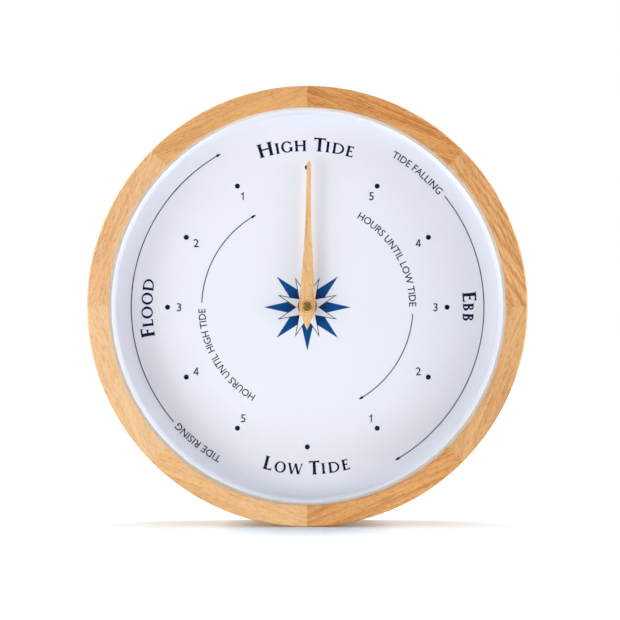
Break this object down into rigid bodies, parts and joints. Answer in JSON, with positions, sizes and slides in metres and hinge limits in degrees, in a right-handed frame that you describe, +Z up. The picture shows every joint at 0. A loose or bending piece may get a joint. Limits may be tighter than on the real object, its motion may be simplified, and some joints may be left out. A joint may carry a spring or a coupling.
{
  "type": "tide clock",
  "caption": "Round wall tide clock: beech ring, flat glass, printed tide dial, one hand on a battery quartz movement, and a strap hanger.",
  "frame": {"origin": "centre of the round part of the hanger's keyhole, in the middle of the strap", "axes": "+Z up, +X to the right seen from the front, +Y from the dial to the wall"},
  "size_m": [0.23, 0.045, 0.23],
  "materials": {
    "beech": "oiled beech, fine straight grain with short ray flecks",
    "glass": "clear flat glass",
    "white_rim": "smooth matt white",
    "dial_white": "satin white plate, printed",
    "board": "fibre board, sanded",
    "screw_steel": "zinc plated",
    "brass": "turned brass",
    "rubber": "black rubber",
    "hanger_steel": "zinc plated strip",
    "black_case": "moulded, fine spark texture",
    "contact_metal": "nickel plated spring strip",
    "white_gear": "acetal",
    "brass_gear": "turned brass",
    "red_knob": "moulded",
    "magnet": "sintered",
    "soft_iron": "stamped sheet",
    "copper": "enamelled copper wire",
    "circuit": "glass fibre board",
    "crystal_can": "drawn can",
    "resin": "cast resin",
    "battery_sleeve": "plain shrink sleeve",
    "tan_hand": "satin tan paint on sheet metal"
  },
  "bodies": {
    "clock_case": {"frame_segment_1": "beech", "frame_segment_2": "beech", "frame_segment_3": "beech", "frame_segment_4": "beech", "frame_segment_5": "beech", "frame_segment_6": "beech", "frame_segment_7": "beech", "frame_segment_8": "beech", "glass": "glass", "rim": "white_rim", "dial": "dial_white", "dial_board": "board", "board_screws": "screw_steel", "brass_washer": "brass", "centre_nut": "brass", "rubber_washer": "rubber", "threaded_bush": "brass", "hanger_strap": "hanger_steel", "front_case": "black_case", "rear_case": "black_case", "positive_contact": "contact_metal", "negative_contact": "contact_metal", "train_plate": "white_gear", "stator": "soft_iron", "coil_core": "soft_iron", "coil_bobbin": "white_gear", "coil_winding": "copper", "circuit_board": "circuit", "quartz_crystal": "crystal_can", "timing_chip": "resin"},
    "tide_hand": {"tide_wheel": "white_gear", "hand_collet": "brass", "hand": "tan_hand"},
    "setting_arbor": {"minute_wheel": "white_gear", "setting_knob": "red_knob"},
    "cannon": {"cannon_pinion": "brass_gear", "cap_nut": "brass"},
    "rotor": {"rotor_pinion": "white_gear", "rotor_magnet": "magnet"},
    "first_arbor": {"first_wheel": "white_gear"},
    "second_arbor": {"second_wheel": "white_gear"},
    "third_arbor": {"third_wheel": "white_gear"},
    "clutch": {"clutch_wheel": "white_gear"},
    "cell": {"battery": "battery_sleeve"}
  },
  "joints": [
    {"name": "hand_turn", "type": "hinge", "parent": "clock_case", "child": "tide_hand", "pos_m": [0, 0, -0.037], "axis": [0, 1, 0], "continuous": true},
    {"name": "knob_turn", "type": "hinge", "parent": "clock_case", "child": "setting_arbor", "pos_m": [-0.0091, 0, -0.037], "axis": [0, 1, 0], "continuous": true},
    {"name": "cannon_turn", "type": "hinge", "parent": "clock_case", "child": "cannon", "pos_m": [0, 0, -0.037], "axis": [0, 1, 0], "continuous": true},
    {"name": "rotor_turn", "type": "hinge", "parent": "clock_case", "child": "rotor", "pos_m": [0.0015, 0, -0.02476], "axis": [0, 1, 0], "continuous": true},
    {"name": "first_wheel_turn", "type": "hinge", "parent": "clock_case", "child": "first_arbor", "pos_m": [-0.0013, 0, -0.02961], "axis": [0, 1, 0], "continuous": true},
    {"name": "second_wheel_turn", "type": "hinge", "parent": "clock_case", "child": "second_arbor", "pos_m": [0, 0, -0.037], "axis": [0, 1, 0], "continuous": true},
    {"name": "third_wheel_turn", "type": "hinge", "parent": "clock_case", "child": "third_arbor", "pos_m": [0.0072, 0, -0.037], "axis": [0, 1, 0], "continuous": true},
    {"name": "clutch_turn", "type": "hinge", "parent": "clock_case", "child": "clutch", "pos_m": [0, 0, -0.037], "axis": [0, 1, 0], "continuous": true},
    {"name": "battery_slide", "type": "slide", "parent": "clock_case", "child": "cell", "axis": [0, 1, 0], "range_m": [0, 0.02]}
  ],
  "couplings": [
    {"joint": "knob_turn", "follows": "hand_turn", "ratio": -3.7273},
    {"joint": "cannon_turn", "follows": "hand_turn", "ratio": 12.424},
    {"joint": "first_wheel_turn", "follows": "rotor_turn", "ratio": -0.16667},
    {"joint": "second_wheel_turn", "follows": "rotor_turn", "ratio": 0.033333},
    {"joint": "third_wheel_turn", "follows": "rotor_turn", "ratio": -0.0041667},
    {"joint": "clutch_turn", "follows": "rotor_turn", "ratio": 0.00055556}
  ]
}
